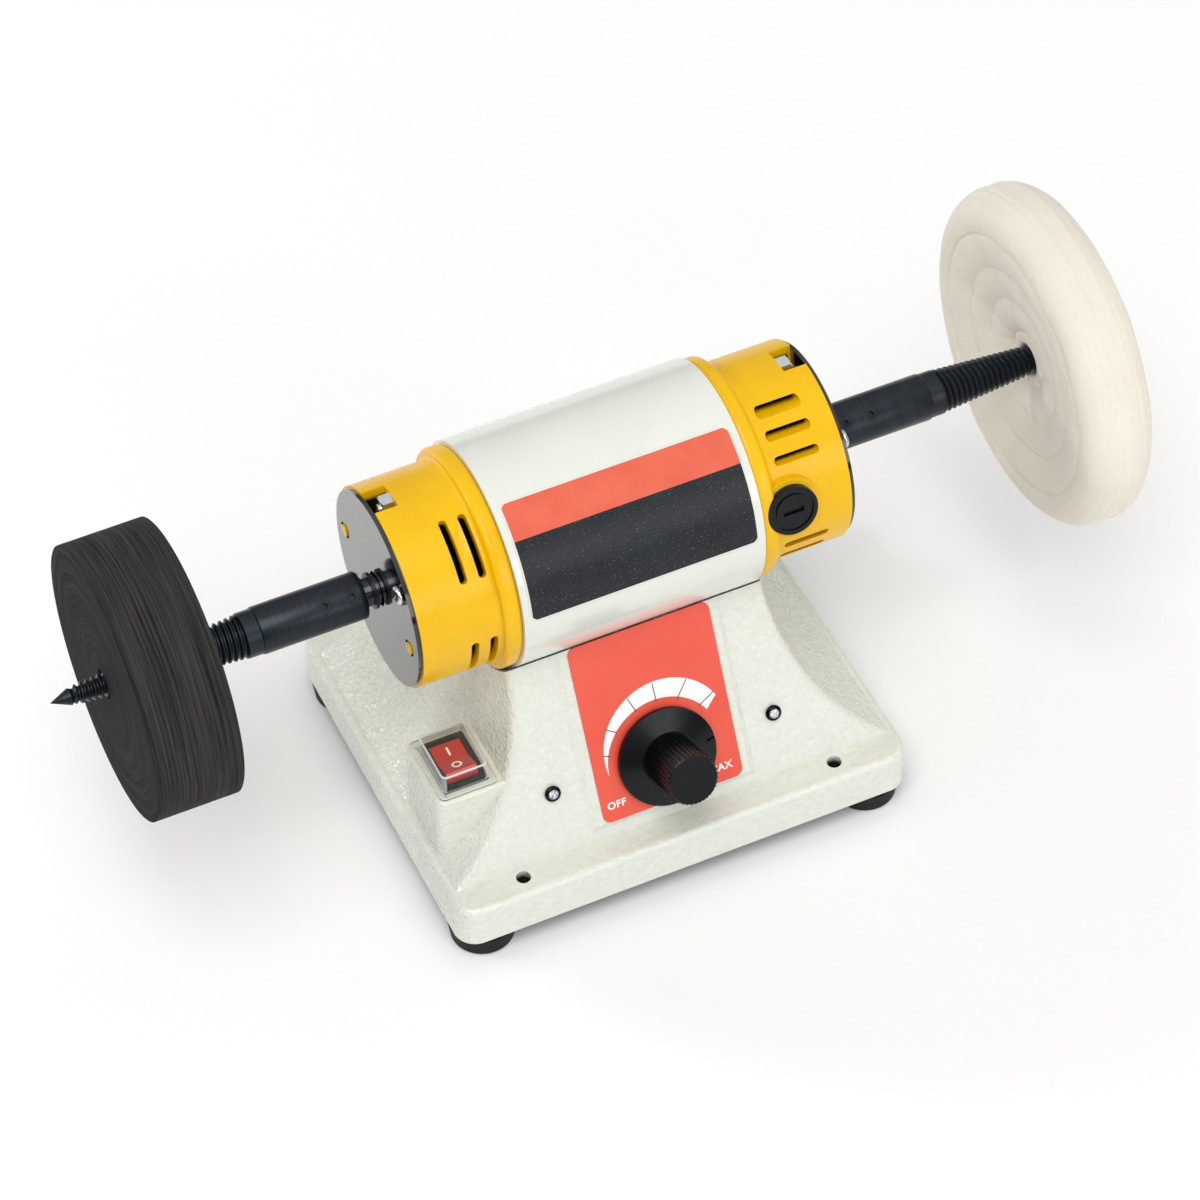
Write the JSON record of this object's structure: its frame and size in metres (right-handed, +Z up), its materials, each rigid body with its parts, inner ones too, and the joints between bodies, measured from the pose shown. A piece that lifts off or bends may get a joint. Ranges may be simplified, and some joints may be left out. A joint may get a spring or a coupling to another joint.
{
  "type": "bench buffer",
  "caption": "Bench buffer: a brush motor on a cast stand turns a fibre wheel and a cotton buff on taper spindles; a knob sets its speed and a covered rocker switches it.",
  "frame": {"origin": "middle of the base's footprint, on the bench, between the bench bolt holes", "axes": "+X along the shaft towards the cotton buff, -Y towards the dial face, +Z up"},
  "size_m": [0.392, 0.1512, 0.1794],
  "materials": {
    "cast_paint": "hammered enamel",
    "tube_paint": "smooth enamel",
    "dark_plate": "satin black",
    "gloss_black": "gloss black",
    "yellow_plastic": "semi-gloss",
    "black_plastic": "satin",
    "clear_plastic": "clear",
    "red_plastic": "gloss",
    "red_panel": "printed film",
    "label_film": "printed film",
    "rubber_black": "matt",
    "zinc_steel": "zinc plated",
    "dark_steel": "black oxide",
    "bright_steel": "ground",
    "shaft_steel": "ground and oiled",
    "magnet": "sintered",
    "iron_core": "laminated",
    "copper_wire": "enamelled copper",
    "brass": "machined",
    "carbon": "pressed carbon",
    "board": "solder mask",
    "fibre_wheel": "wound abrasive fibre",
    "cotton": "stitched cotton"
  },
  "bodies": {
    "stand": {"base_casting": "cast_paint", "bottom_plate": "dark_plate", "rubber_feet": "rubber_black", "foot_screws": "zinc_steel", "motor_tube": "tube_paint", "motor_bolts": "zinc_steel", "field_magnets": "magnet", "end_cap_left": "yellow_plastic", "end_cap_right": "yellow_plastic", "end_plate_left": "gloss_black", "end_plate_right": "gloss_black", "plate_screws": "zinc_steel", "tie_rods": "zinc_steel", "tie_nuts": "zinc_steel", "bearing_outer_races": "bright_steel", "brush_holders": "brass", "carbon_brushes": "carbon", "brush_springs": "bright_steel", "brush_caps": "black_plastic", "dial_panel": "red_panel", "front_bracket": "zinc_steel", "front_screws": "dark_steel", "front_nuts": "zinc_steel", "potentiometer": "zinc_steel", "pot_nut": "zinc_steel", "switch_body": "black_plastic", "switch_cover": "clear_plastic", "rating_label": "label_film", "board_standoffs": "brass", "control_board": "board", "board_screws": "zinc_steel", "cord_inlet": "rubber_black"},
    "rotor": {"motor_shaft": "shaft_steel", "retaining_rings": "dark_steel", "bearing_inner_races": "bright_steel", "bearing_balls": "bright_steel", "armature_core": "iron_core", "armature_windings": "copper_wire", "commutator": "copper_wire", "cooling_fan": "black_plastic", "spindle_left": "dark_steel", "spindle_right": "dark_steel", "set_screws": "dark_steel", "abrasive_wheel": "fibre_wheel", "cotton_buff": "cotton"},
    "knob": {"speed_knob": "black_plastic", "pot_shaft": "bright_steel"},
    "rocker": {"rocker": "red_plastic"}
  },
  "joints": [
    {"name": "rotor_spin", "type": "hinge", "parent": "stand", "child": "rotor", "pos_m": [0, 0, 0.118], "axis": [1, 0, 0], "continuous": true},
    {"name": "knob_turn", "type": "hinge", "parent": "stand", "child": "knob", "pos_m": [0, -0.05111, 0.04721], "axis": [0, -0.9063, 0.4226], "range_deg": [-50, 220]},
    {"name": "rocker_tip", "type": "hinge", "parent": "stand", "child": "rocker", "pos_m": [-0.06875, -0.0312, 0.0535], "axis": [1, 0, 0], "range_deg": [0, 18]}
  ]
}
